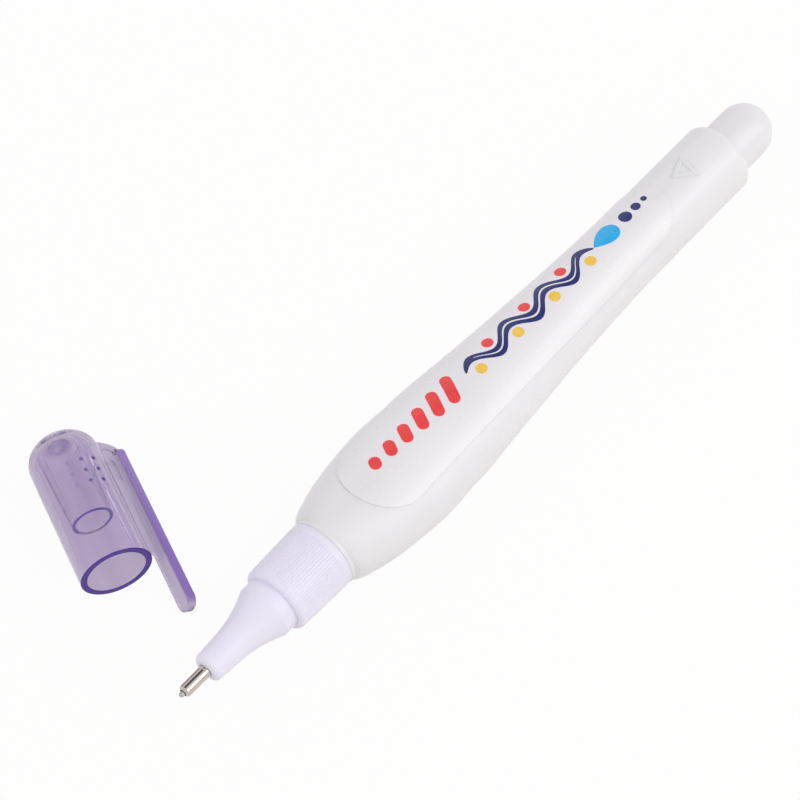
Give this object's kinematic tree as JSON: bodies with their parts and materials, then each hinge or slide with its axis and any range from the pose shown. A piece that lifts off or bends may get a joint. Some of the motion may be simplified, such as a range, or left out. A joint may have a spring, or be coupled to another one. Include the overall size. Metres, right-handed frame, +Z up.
{
  "type": "correction pen",
  "caption": "Squeeze correction pen with a flattened belly, ribbed nozzle, spring-loaded needle tip and a clip cap that lies beside it.",
  "frame": {"origin": "middle of the footprint of pen and cap, on the table", "axes": "+X along the pen towards its tail, +Z up from the table"},
  "size_m": [0.14, 0.0556, 0.0139],
  "materials": {
    "bottle_plastic": "blown translucent white plastic, smooth and softly glossy",
    "label_film": "clear printed film",
    "nozzle_plastic": "moulded pale lavender plastic",
    "seal_rubber": "pale soft seal",
    "tip_steel": "nickelled steel",
    "spring_steel": "plain steel",
    "plug_plastic": "moulded white plastic",
    "cap_plastic": "clear purple plastic, polished"
  },
  "bodies": {
    "pen": {"squeeze_bottle": "bottle_plastic", "label": "label_film", "nozzle": "nozzle_plastic", "neck_seal": "seal_rubber", "metal_tip": "tip_steel", "valve_spring": "spring_steel", "spring_plug": "plug_plastic"},
    "needle": {"valve_needle": "tip_steel"},
    "ball": {"mixing_ball": "spring_steel"},
    "loose_cap": {"cap": "cap_plastic"}
  },
  "joints": [
    {"name": "needle_push", "type": "slide", "parent": "pen", "child": "needle", "axis": [1, 0, 0], "range_m": [0, 0.0006], "stiffness_N_per_m": 200, "deforming": ["valve_spring"]},
    {"name": "ball_run", "type": "slide", "parent": "pen", "child": "ball", "axis": [-1, 0, 0], "range_m": [0, 0.0887]},
    {"name": "cap_pull", "type": "slide", "parent": "pen", "child": "loose_cap", "axis": [0.4274, 0.9041, 0], "range_m": [0, 0.02085]}
  ]
}
